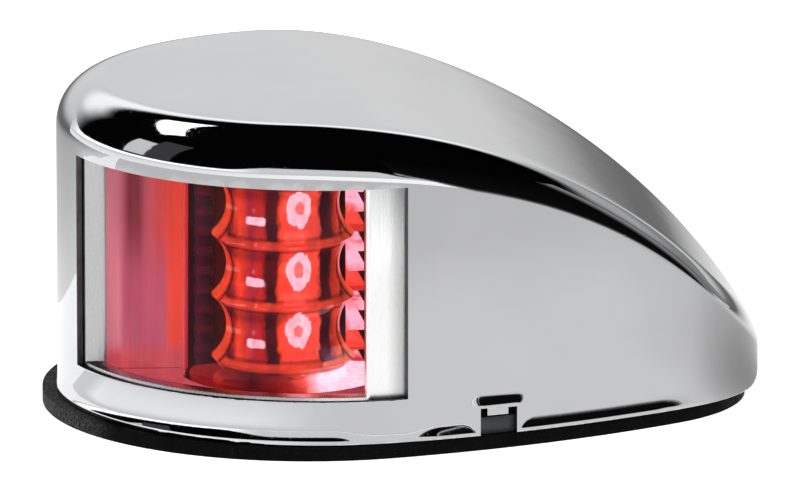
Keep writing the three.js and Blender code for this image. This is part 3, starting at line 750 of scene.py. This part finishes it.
MIRROR = mirror_steel()
CUT_EDGE = cut_steel()
SATIN = satin_steel()
PLATED = plated_steel()
BRASS = plated_steel("brass", (0.62, 0.42, 0.16), (0.78, 0.58, 0.26))
ALUMINIUM = dark_aluminium()
RUBBER = rubber()
SILICONE = rubber("grey_silicone", (0.42, 0.4, 0.39), (0.55, 0.53, 0.52), 0.62)
BLACK_ABS = moulded_plastic("black_plastic", (0.018, 0.02, 0.023), (0.032, 0.034, 0.038))
NYLON = moulded_plastic("white_nylon", (0.6, 0.59, 0.55), (0.72, 0.71, 0.67), (0.4, 0.5))
FERRITE = moulded_plastic("ferrite", (0.045, 0.045, 0.05), (0.075, 0.075, 0.08), (0.6, 0.8), 0.00004)
CHIP = moulded_plastic("chip_black", (0.012, 0.012, 0.013), (0.025, 0.025, 0.027), (0.45, 0.6))
RED_WIRE = moulded_plastic("red_insulation", (0.42, 0.012, 0.012), (0.55, 0.03, 0.025), (0.3, 0.42))
BLACK_WIRE = moulded_plastic("black_insulation", (0.01, 0.01, 0.011), (0.022, 0.022, 0.024), (0.3, 0.42))
FLEX = solder_mask("flex_circuit", (0.55, 0.26, 0.05), (0.78, 0.45, 0.16))
GREEN_BOARD = solder_mask("circuit_board", (0.012, 0.13, 0.05), (0.05, 0.28, 0.13))
WHITE_BOARD = led_strip()
LED_PACKAGE = led_glow()
RED_LENS = clear_red_block()
RED_OPTIC = glowing_optic()
CLEAR_OPTIC = clear_optic()
FROSTED_RED = frosted_red()

# ---- the cover


def wall_levels(x):
    """Heights of the grid lines up the wall at one station, from the rim to the start of the top edge."""
    wall_top = top_height(x) - edge_radius(x)
    shrink = min(1.0, (wall_top - RIM_Z) / (WINDOW_WALL_TOP - RIM_Z))
    notch_x = SIDE_X + SIDE_R * math.sin(NOTCH_BEARING)
    notch_wall = top_height(notch_x) - edge_radius(notch_x) - RIM_Z
    notch_shrink = min(1.0, notch_wall / (WINDOW_WALL_TOP - RIM_Z))
    notch_line = (NOTCH_TOP - RIM_Z) / notch_shrink
    foot = FOOT_LINES + [notch_line]
    above = [notch_line + (WINDOW_LOW - RIM_Z - notch_line) * k / 9 for k in range(1, 9)]
    window = [WINDOW_LOW - RIM_Z + (WINDOW_HIGH - WINDOW_LOW) * k / 16 for k in range(17)]
    return [RIM_Z + height * shrink for height in foot + above + window] + [wall_top]


def rim_distance(station, z):
    """How far a wall point is from the cover's lower edge, which rises over each release notch."""
    height = z - RIM_Z
    if station[2] != SIDE_R:
        return height
    along = abs(abs(station[3]) - (math.pi / 2 - NOTCH_BEARING)) * SIDE_R - NOTCH_WIDTH / 2
    over = z - NOTCH_TOP
    return min(height, math.hypot(max(along, 0), max(over, 0)))


def flare_strength(x):
    """The drawn foot flares most by the bow and abaft the window, and not at all round the tail."""
    bow = 1 - smoothstep(x, NOSE_X - 2 * MM, NOSE_X + 3 * MM) * 0.45
    abaft = smoothstep(x, NOSE_X + 9 * MM, NOSE_X + 14 * MM) * 0.45
    tail = 1 - smoothstep(x, NOSE_X + 48 * MM, NOSE_X + 56 * MM)
    return (bow + abaft) * tail


def plain_inset(x):
    """How far the plain wall stands in from the outline, which leaves room for the flared foot."""
    return WALL_INSET * (1 - 0.9 * smoothstep(x, NOSE_X + 42 * MM, NOSE_X + 62 * MM))


def wall_inset(station, z):
    """How far the wall stands in from the outline: plain above, flaring out to a short upright foot."""
    x = at_inset(station, 0)[0]
    reach = FLARE_HEIGHT - max(rim_distance(station, z), UPRIGHT_FOOT)
    if reach <= 0:
        return plain_inset(x)
    if reach < FLARE_BLEND:
        spread = FLARE_SLOPE * reach * reach / (2 * FLARE_BLEND)
    else:
        spread = FLARE_SLOPE * (reach - FLARE_BLEND / 2)
    return max(plain_inset(x) - spread * flare_strength(x), 0.01 * MM)


def cover_surface():
    """The outer skin as rings of vertices: wall, rounded edge, then strips across the top."""
    edge_steps = 16
    across = 14
    columns = []
    for station in STATIONS:
        x0, _ = at_inset(station, 0)
        radius = edge_radius(x0)
        column = []
        for z in wall_levels(x0):
            x, y = at_inset(station, wall_inset(station, z))
            column.append((x, y, z))
        for k in range(1, edge_steps + 1):
            turn = math.pi / 2 * k / edge_steps
            x, y = at_inset(station, plain_inset(x0) + radius * (1 - math.cos(turn)))
            column.append((x, y, top_height(x) - radius * (1 - math.sin(turn))))
        columns.append(column)
    count = len(columns)
    height = len(columns[0])
    vertices = [v for column in columns for v in column]
    faces = []
    tags = []
    for i in range(count):
        j = (i + 1) % count
        for k in range(height - 1):
            faces.append((i * height + k, j * height + k, j * height + k + 1, i * height + k + 1))
            tags.append((i, k))
    rows = [[height - 1]]
    half = count // 2
    for i in range(1, half):
        left = i * height + height - 1
        right = (count - i) * height + height - 1
        a, b = Vector(vertices[left]), Vector(vertices[right])
        row = [left]
        for k in range(1, across):
            vertices.append(a.lerp(b, k / across))
            row.append(len(vertices) - 1)
        rows.append(row + [right])
    rows.append([half * height + height - 1])
    for first, second in zip(rows, rows[1:]):
        if len(first) == 1:
            faces += [(first[0], b, a) for a, b in zip(second, second[1:])]
        elif len(second) == 1:
            faces += [(a, b, second[0]) for a, b in zip(first, first[1:])]
        else:
            for k in range(across):
                faces.append((first[k], first[k + 1], second[k + 1], second[k]))
    return vertices, faces, tags


def in_window(station_a, station_b, z):
    (x_a, y_a), (x_b, y_b) = at_inset(station_a, 0), at_inset(station_b, 0)
    x, y = (x_a + x_b) / 2, (y_a + y_b) / 2
    return y < -WINDOW_FORE_Y and x < WINDOW_AFT_X and WINDOW_LOW < z < WINDOW_HIGH


def in_notch(station_a, station_b, level):
    """True for a wall face in either rim notch, by the angle of its middle and its grid level."""
    if station_a[2] != SIDE_R or station_b[2] != SIDE_R:
        return False
    middle = (abs(station_a[3]) + abs(station_b[3])) / 2
    off = abs(middle - (math.pi / 2 - NOTCH_BEARING))
    return off < math.asin(NOTCH_WIDTH / 2 / SIDE_R) and level < NOTCH_LEVEL


def housing():
    """The cover: the skin without its window and notches, as a sheet with a dull cut edge."""
    vertices, faces, tags = cover_surface()
    kept = []
    for index, face in enumerate(faces):
        if index < len(tags):
            i, k = tags[index]
            a, b = STATIONS[i], STATIONS[(i + 1) % len(STATIONS)]
            z = sum(vertices[v][2] for v in face) / 4
            if in_window(a, b, z) or in_notch(a, b, k):
                continue
        kept.append(face)
    shell = mesh_object("housing_shell", vertices, kept)
    with editing(shell.data) as bm:
        bmesh.ops.delete(bm, geom=[v for v in bm.verts if not v.link_faces], context="VERTS")
        bmesh.ops.recalc_face_normals(bm, faces=bm.faces)
        if max(bm.faces, key=lambda f: f.calc_center_median().z).normal.z < 0:
            bmesh.ops.reverse_faces(bm, faces=bm.faces)
    shell.data.materials.append(MIRROR)
    shell.data.materials.append(CUT_EDGE)
    thicken(shell, SHEET, 0.16 * MM, 3, rim_slot=1)
    cut = [polygon.index for polygon in shell.data.polygons if polygon.material_index == 1]
    place(shell, "cover", MIRROR, "polished_stainless", "housing")
    shell.data.materials.append(CUT_EDGE)
    for index in cut:
        shell.data.polygons[index].material_index = 1
    return shell


def notch_place(side):
    """Matrix from the notch's own frame (x aft along the wall, y inward) to the port or starboard wall."""
    x = SIDE_X + SIDE_R * math.sin(NOTCH_BEARING)
    y = SIDE_Y - SIDE_R * math.cos(NOTCH_BEARING)
    port = Matrix.Translation((x, y, 0)) @ Matrix.Rotation(NOTCH_BEARING, 4, "Z")
    return port if side == "port" else Matrix.Scale(-1, 4, (0, 1, 0)) @ port


def catch_lip(side):
    """The tab of sheet bent inward over the middle of the notch."""
    bend_steps = 6
    bend = 0.35 * MM
    inner = [(WALL_INSET, NOTCH_TOP + 0.2 * MM), (WALL_INSET, NOTCH_TOP - LIP_DROP + bend)]
    for k in range(1, bend_steps + 1):
        turn = math.pi / 2 * k / bend_steps
        y = WALL_INSET + bend * (1 - math.cos(turn))
        inner.append((y, NOTCH_TOP - LIP_DROP + bend * (1 - math.sin(turn))))
    inner.append((LIP_REACH, NOTCH_TOP - LIP_DROP))
    vertices = []
    for x in (-LIP_WIDTH / 2, LIP_WIDTH / 2):
        vertices += [(x, y, z) for y, z in inner]
    count = len(inner)
    faces = [(k, k + 1, k + 1 + count, k + count) for k in range(count - 1)]
    lip = mesh_object(f"housing_catch_lip_{side}", vertices, faces)
    lip.data.transform(notch_place(side))
    outward = Vector((0, -1 if side == "port" else 1, 0))
    with editing(lip.data) as bm:
        bmesh.ops.recalc_face_normals(bm, faces=bm.faces)
        bm.faces.ensure_lookup_table()
        if bm.faces[0].normal.dot(outward) < 0:
            bmesh.ops.reverse_faces(bm, faces=bm.faces)
    thicken(lip, SHEET * 0.8, 0.12 * MM, 2)
    return place(lip, "cover", MIRROR, "polished_stainless")


# ---- gasket and base


def deck_gasket():
    """Rubber sheet with rounded edges, a little proud of the nose, with its three holes."""
    shift = (GASKET_LOW.x + GASKET_HIGH.x) / 2 - (HOUSING_LOW.x + HOUSING_HIGH.x) / 2
    inset = HOUSING_HIGH.y - GASKET_HIGH.y
    points = [(x + shift, y) for x, y in outline(inset)]
    pad = prism("deck_gasket_pad", points, GASKET_LOW.z, GASKET_HIGH.z)
    for x, y, radius in [*[(x, y, DECK_HOLE_R) for x, y in DECK_HOLES], (*CABLE_AT, CABLE_HOLE_R)]:
        boolean(pad, bar("hole", x, y, radius, -5 * MM, 5 * MM, 48), "DIFFERENCE")
    soften(pad, 0.8 * MM, 5)
    return place(pad, "base", RUBBER, "black_rubber", "deck_gasket")


# ---- optic, lens and bezel


def light_guide():
    """Three waisted rings with sharp ridges on a thin round foot, with a pocket for the LEDs behind."""
    low, high = OPTIC_LOW.z, OPTIC_HIGH.z
    arc_steps = 20
    profile = [(AXIS, low), (DISC_R - 0.3 * MM, low), (DISC_R, low + 0.3 * MM)]
    profile += [(DISC_R, DISC_TOP - 0.3 * MM), (DISC_R - 0.3 * MM, DISC_TOP)]
    profile += [(RIDGE_R - 1.6 * MM, DISC_TOP + 0.3 * MM), (RIDGE_R, RIDGE_LOW)]
    for ring in range(RINGS):
        for i in range(1, arc_steps + 1):
            share = i / arc_steps
            off = (share - 0.5) * RIDGE_PITCH
            radius = WAIST_R + WAIST_ARC_R - math.sqrt(WAIST_ARC_R**2 - off * off)
            profile.append((radius, RIDGE_LOW + RIDGE_PITCH * (ring + share)))
    profile += [(RIDGE_R, high), (AXIS, high)]
    guide = turned("light_guide_rings", profile, 128)
    guide.data.transform(Matrix.Translation((OPTIC_X, OPTIC_Y, 0)))
    tidy_normals(guide)
    behind = block("behind", (-FAR, OPTIC_HIGH.y, 0), (FAR, FAR / 2, FAR))
    boolean(guide, behind, "DIFFERENCE")
    boolean(guide, bar("pocket", BORE_X, OPTIC_Y, BORE_R, 0, FAR, 96), "DIFFERENCE")
    tidy_normals(guide, 32)
    guide.visible_shadow = False
    place(guide, "base", RED_OPTIC, "red_optic", "light_guide")
    guide.data.materials.append(CLEAR_OPTIC)
    for polygon in guide.data.polygons:
        center = polygon.center
        inside = math.hypot(center.x - OPTIC_X, center.y - OPTIC_Y) < WAIST_R - 0.6 * MM
        if inside and center.z > DISC_TOP:
            polygon.material_index = 1
    return guide


def lens():
    """Thick red block that follows the wall, bored from behind to clear the rings."""
    body = prism("lens_block", outline(LENS_INSET), LENS_LOW.z, LENS_HIGH.z)
    reach = block("reach", (-FAR, -FAR, -FAR), (LENS_HIGH.x, LENS_HIGH.y, FAR))
    boolean(body, reach, "INTERSECT")
    boolean(body, bar("bore", OPTIC_X, OPTIC_Y, LENS_BORE, -FAR, FAR, 160), "DIFFERENCE")
    soften(body, 0.25 * MM, 3)
    body.visible_shadow = False
    place(body, "base", RED_LENS, "red_lens", "lens")
    body.data.materials.append(FROSTED_RED)
    for polygon in body.data.polygons:
        behind = polygon.center.y > LENS_HIGH.y - 0.05 * MM
        if behind or polygon.center.z < LENS_LOW.z + 0.05 * MM:
            polygon.material_index = 1
    return body


def lens_bezel():
    """Satin frame behind the window: screen forward, curved strip aft, and a sill."""
    low, high = BEZEL_LOW.z, BEZEL_HIGH.z
    body = prism("lens_bezel_frame", outline(BEZEL_INSET), low, high)
    inner = prism("inner", outline(BEZEL_INSET + BEZEL_DEPTH), low - 1 * MM, high + 1 * MM)
    boolean(body, inner, "DIFFERENCE")
    reach = block("reach", (-FAR, -FAR, -FAR), (BEZEL_HIGH.x, BEZEL_HIGH.y, FAR))
    boolean(body, reach, "INTERSECT")
    gap = 0.15 * MM
    corner = (BEZEL_STRIP_X, BEZEL_SCREEN_Y, WINDOW_HIGH + gap)
    opening = block("opening", (-FAR, -FAR, SILL_TOP), corner)
    boolean(body, opening, "DIFFERENCE")
    screen_low = (SCREEN_FORE, BEZEL_SCREEN_Y, SCREEN_FOOT)
    screen = block("screen", screen_low, (BEZEL_SCREEN_END, BEZEL_HIGH.y, high))
    boolean(body, screen, "UNION")
    soften(body, 0.15 * MM, 2)
    return place(body, "base", SATIN, "satin_stainless", "lens_bezel")


# ---- inner parts from their CAD shapes

def numbered(name, count, *finish):
    """The same finish for a row of numbered nodes."""
    return {f"{name}_{n}": finish for n in range(1, count + 1)}


# Each node's material, its slot, and how wide its edges are rounded, in millimetres.
INNER = {
    "base_plate": (BLACK_ABS, "black_plastic", 0.25),
    "cable_grommet": (RUBBER, "black_rubber", 0.3),
    "release_latch_port": (BLACK_ABS, "black_plastic", 0.15),
    "release_latch_starboard": (BLACK_ABS, "black_plastic", 0.15),
    "lamp_carrier": (BLACK_ABS, "black_plastic", 0.2),
    "module_cap": (BLACK_ABS, "black_plastic", 0.3),
    "lens_seal_lower": (SILICONE, "grey_silicone", 0.1),
    "lens_seal_upper": (SILICONE, "grey_silicone", 0.1),
    "guide_cushion": (SILICONE, "grey_silicone", 0.3),
    "led_board": (WHITE_BOARD, "circuit_board", 0.1),
    "heat_sink": (ALUMINIUM, "cast_aluminium", 0.12),
    "driver_board": (GREEN_BOARD, "circuit_board", 0.1),
    "driver_inductor": (FERRITE, "ferrite", 0.2),
    "driver_capacitor": (PLATED, "zinc_steel", 0.4),
    "driver_chip": (CHIP, "chip_black", 0.15),
    "driver_diode": (CHIP, "chip_black", 0.15),
    "led_ribbon": (FLEX, "flex_circuit", 0.05),
    "terminal_block": (NYLON, "white_nylon", 0.25),
    **{f"led_{level}": (LED_PACKAGE, "led_package", 0.08) for level in ("lower", "middle", "upper")},
    **numbered("module_screw", 3, PLATED, "zinc_steel", 0.18),
    **numbered("cap_screw", 2, PLATED, "zinc_steel", 0.18),
    **numbered("driver_screw", 2, PLATED, "zinc_steel", 0.18),
    **numbered("terminal_screw", 2, BRASS, "brass", 0.15),
    "lead_red": (RED_WIRE, "red_insulation", 0.0),
    "lead_black": (BLACK_WIRE, "black_insulation", 0.0),
}


def softened_copy(node, material, slot, width):
    """A copy of a CAD node's mesh with its sharp edges rounded."""
    piece = bpy.data.objects.new(f"{node}_finished", frame["nodes"][node].data.copy())
    show(piece)
    if width:
        soften(piece, width * MM)
    else:
        tidy_normals(piece, 50)
    body = frame["nodes"][node]["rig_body"]
    return place(piece, body, material, slot, node)


# ---- camera, floor and studio

VIEW_BEARING = 5.7
VIEW_ELEVATION = 13.09
VIEW_DISTANCE = 2.044
FOCAL_MM = 613.4
FLOOR_SIZE = 6.0
FLAG_DISTANCE = 0.23
DARK = 0.0015


def toward(bearing, elevation):
    """The way from the fitting to a bearing and elevation in degrees. 0 is to port, 90 is forward."""
    b, e = math.radians(bearing), math.radians(elevation)
    return Vector((-math.sin(b) * math.cos(e), -math.cos(b) * math.cos(e), math.sin(e)))


def camera():
    """A long lens a little forward of abeam and a little above, aimed just below the middle."""
    back = toward(VIEW_BEARING, VIEW_ELEVATION)
    turn = math.radians(VIEW_BEARING)
    right = Vector((math.cos(turn), -math.sin(turn), 0))
    up = back.cross(right)
    aim = Vector((NOSE_X + 20 * MM, 0, RIM_Z + 22 * MM)) - right * 8.3 * MM - up * 1.44 * MM
    data = bpy.data.cameras.new("camera")
    data.lens = FOCAL_MM
    data.sensor_width = 36
    shot = bpy.data.objects.new("camera", data)
    shot.location = aim + back * VIEW_DISTANCE
    shot.rotation_mode = "QUATERNION"
    shot.rotation_quaternion = back.to_track_quat("Z", "Y")
    show(shot)
    bpy.context.scene.camera = shot


def floor():
    """A pale floor that also shines a little, so it stays even under the soft lights."""
    glowing = {"Emission_Color": (1, 1, 1, 1), "Emission_Strength": 0.85}
    look = Look("pale_floor", Roughness=0.8, Specular_IOR_Level=0.0, **glowing)
    look.paint(look.colors(look.noise(4, 2), [(0.3, (0.8, 0.8, 0.8)), (0.7, (0.83, 0.83, 0.83))]))
    size = FLOOR_SIZE
    corners = [(-size, -size, 0), (size, -size, 0), (size, size, 0), (-size, size, 0)]
    plane = mesh_object("floor", corners, [(0, 1, 2, 3)])
    plane.data.materials.append(look.material)


def glow(name, color=None, strength=1.0):
    """A material that only shines: in one colour, or else in the shade painted on the mesh."""
    material = bpy.data.materials.new(name)
    nodes = Nodes(material)
    emission = nodes.add("ShaderNodeEmission")
    if color:
        nodes.feed(emission, "Color", (*color, 1))
    else:
        nodes.feed(emission, "Color", nodes.add("ShaderNodeVertexColor", layer_name="shade").outputs["Color"])
    nodes.feed(emission, "Strength", strength)
    nodes.feed(nodes.add("ShaderNodeOutputMaterial"), "Surface", emission.outputs["Emission"])
    return material


def card(name, bearing, elevation, distance, width, height, color, strength):
    """A board seen only in reflections, facing the fitting."""
    way = toward(bearing, elevation)
    w, h = width / 2, height / 2
    board = mesh_object(name, [(-w, -h, 0), (w, -h, 0), (w, h, 0), (-w, h, 0)], [(0, 1, 2, 3)])
    board.data.transform((-way).to_track_quat("Z", "Y").to_matrix().to_4x4())
    board.data.transform(Matrix.Translation(way * distance))
    board.data.materials.append(glow(name, color, strength))
    only_mirrored(board)


def only_mirrored(board):
    """Hides a studio board from everything but reflections."""
    board.visible_camera = False
    board.visible_diffuse = False
    board.visible_shadow = False
    board.visible_transmission = False


def shaded_board(name, vertices, faces, strengths):
    """A board seen only in reflections, with its own brightness at each vertex."""
    board = mesh_object(name, vertices, faces)
    shade = board.data.color_attributes.new("shade", "FLOAT_COLOR", "POINT")
    for point, strength in zip(shade.data, strengths):
        point.color = (strength, strength, strength, 1)
    board.data.materials.append(glow(name))
    only_mirrored(board)


def shaded_grid(name, columns):
    """The same, from columns of (vertex, brightness) that stand side by side."""
    height = len(columns[0])
    vertices = [vertex for column in columns for vertex, _ in column]
    strengths = [strength for column in columns for _, strength in column]
    faces = []
    for i in range(len(columns) - 1):
        for k in range(height - 1):
            first = i * height + k
            faces.append((first, first + height, first + height + 1, first + 1))
    shaded_board(name, vertices, faces, strengths)


def grey_sweep(name, strip, x_low, x_high):
    """A sheet behind the fitting, from the floor up a wall, as (distance, height, strength) lines."""
    vertices = []
    strengths = []
    for y, z, strength in strip:
        vertices += [(x_low, y, z), (x_high, y, z)]
        strengths += [strength, strength]
    faces = [(2 * k, 2 * k + 1, 2 * k + 3, 2 * k + 2) for k in range(len(strip) - 1)]
    shaded_board(name, vertices, faces, strengths)


def shade_strength(x, y, distance):
    """How bright the floor looks in the steel: whiter by the port bow, greyer round the tail."""
    bow = smoothstep(NOSE_X - x, 2 * MM, 20 * MM) * (y < 0) * (1 - smoothstep(distance, 10 * MM, 45 * MM))
    tail = smoothstep(x, NOSE_X + 56 * MM, NOSE_X + 69 * MM)
    near_tail = 0.27 + 0.5 * smoothstep(distance, 0, 100 * MM)
    far = 0.15 * smoothstep(distance, 85 * MM, 135 * MM)
    return (1.02 + 0.45 * bow - far) * (1 - tail) + near_tail * tail


def floor_shade():
    """A skirt of light and shade on the floor round the port side, which only the steel mirrors."""
    distances = [mm * MM for mm in (3, 10, 20, 35, 55, 80, 105, 130, 260)]
    full = 2 * math.pi
    turned_to = [(station[3] - (full if station[3] > 3.0 else 0), station) for station in STATIONS[::6]]
    chosen = sorted(pair for pair in turned_to if pair[0] < math.radians(100))
    columns = []
    for _, station in chosen:
        edge_x, edge_y = at_inset(station, 0)
        column = []
        for distance in distances:
            vertex = (*at_inset(station, -distance), 0.0006)
            column.append((vertex, shade_strength(edge_x, edge_y, distance)))
        columns.append(column)
    shaded_grid("floor_shade", columns)


def front_flag():
    """A dark flag off the port quarter: the foot of the wall mirrors it."""
    heights = [(0.0, 0.9), (0.005, 0.5), (0.011, 0.12), (0.02, 0.006), (0.2, DARK)]
    columns = []
    for bearing in range(-95, -22, 3):
        way = toward(bearing, 0) * FLAG_DISTANCE
        lift = 0.076 * smoothstep(bearing, -36, -23)
        pale = 0.4 * (1 - smoothstep(bearing, -95, -80))
        columns.append([((way.x, way.y, z + lift), s * (1 - pale) + pale) for z, s in heights])
    shaded_grid("front_flag", columns)


def softbox(name, bearing, elevation, distance, size, power):
    """A large soft light that the polished steel doesn't mirror."""
    way = toward(bearing, elevation)
    data = bpy.data.lights.new(name, "AREA")
    data.shape = "SQUARE"
    data.size = size
    data.energy = power
    lamp = bpy.data.objects.new(name, data)
    lamp.location = way * distance
    lamp.rotation_mode = "QUATERNION"
    lamp.rotation_quaternion = way.to_track_quat("Z", "Y")
    lamp.visible_glossy = False
    show(lamp)


def world():
    """White to the camera. In reflections: a pale cove that rises behind, under a dark ceiling."""
    sky = bpy.data.worlds.new("studio")
    bpy.context.scene.world = sky
    nodes = Nodes(sky)
    east, north, up = nodes.axes(nodes.add("ShaderNodeTexCoord").outputs["Generated"])
    leaned = nodes.plus(north, nodes.times(east, 0.35))
    bow_edge = nodes.share(east, -0.78, -0.45, 0.05, 0.215)
    front_edge = nodes.share(east, 0.3, 0.6, bow_edge, 0.02)
    front_light = nodes.share(east, -0.85, -0.5, 2.3, 1.05)
    edge_low, edge_high = nodes.minus(front_edge, 0.008), nodes.plus(front_edge, 0.01)
    front = nodes.share(up, edge_low, edge_high, front_light, DARK)
    line = nodes.share(up, 0.27, 0.4, 0.9, 1.5)
    back = nodes.times(nodes.share(up, 0.48, 0.58, line, DARK), nodes.share(east, 0.28, 0.5, 1.0, 0.4))
    studio_light = nodes.add("ShaderNodeBackground")
    nodes.feed(studio_light, "Color", (0.985, 0.99, 1.0, 1))
    nodes.feed(studio_light, "Strength", nodes.share(leaned, 0.42, 0.74, front, back))
    backdrop = nodes.add("ShaderNodeBackground")
    nodes.feed(backdrop, "Color", (1, 1, 1, 1))
    nodes.feed(backdrop, "Strength", 1.0)
    choose = nodes.add("ShaderNodeMixShader")
    nodes.feed(choose, "Fac", nodes.add("ShaderNodeLightPath").outputs["Is Camera Ray"])
    nodes.feed(choose, 1, studio_light.outputs["Background"])
    nodes.feed(choose, 2, backdrop.outputs["Background"])
    nodes.feed(nodes.add("ShaderNodeOutputWorld"), "Surface", choose.outputs["Shader"])


def studio():
    world()
    floor()
    softbox("key_light", -15, 42, 1.1, 0.9, 9)
    softbox("fill_light", 150, 60, 1.2, 0.9, 5)
    card("bow_softbox", 131, 55, 0.8, 0.5, 0.12, (1, 1, 1), 3.0)
    card("bow_screen", 79.5, 24, 0.7, 0.17, 0.42, (0.5, 0.5, 0.52), 0.14)
    card("bow_card", 92.5, 21, 0.7, 0.145, 0.3, (1, 1, 1), 0.98)
    floor_shade()
    front_flag()
    sweep = [
        (0.06, 0.001, 1.0), (0.11, 0.001, 0.76), (0.2, 0.001, 0.44), (0.26, 0.001, 0.24), (0.33, 0.001, 0.18),
        (0.35, 0.012, 0.18), (0.35, 0.028, 0.25), (0.35, 0.05, 0.52), (0.35, 0.075, 0.8), (0.35, 0.115, 0.91),
    ]
    grey_sweep("back_sweep", sweep, -0.3, 0.55)
    bpy.context.scene.view_settings.view_transform = "Standard"


# ---- assembly

camera()
studio()
housing()
catch_lip("port")
catch_lip("starboard")
deck_gasket()
light_guide()
lens()
lens_bezel()
for node_name, finish in INNER.items():
    softened_copy(node_name, *finish)
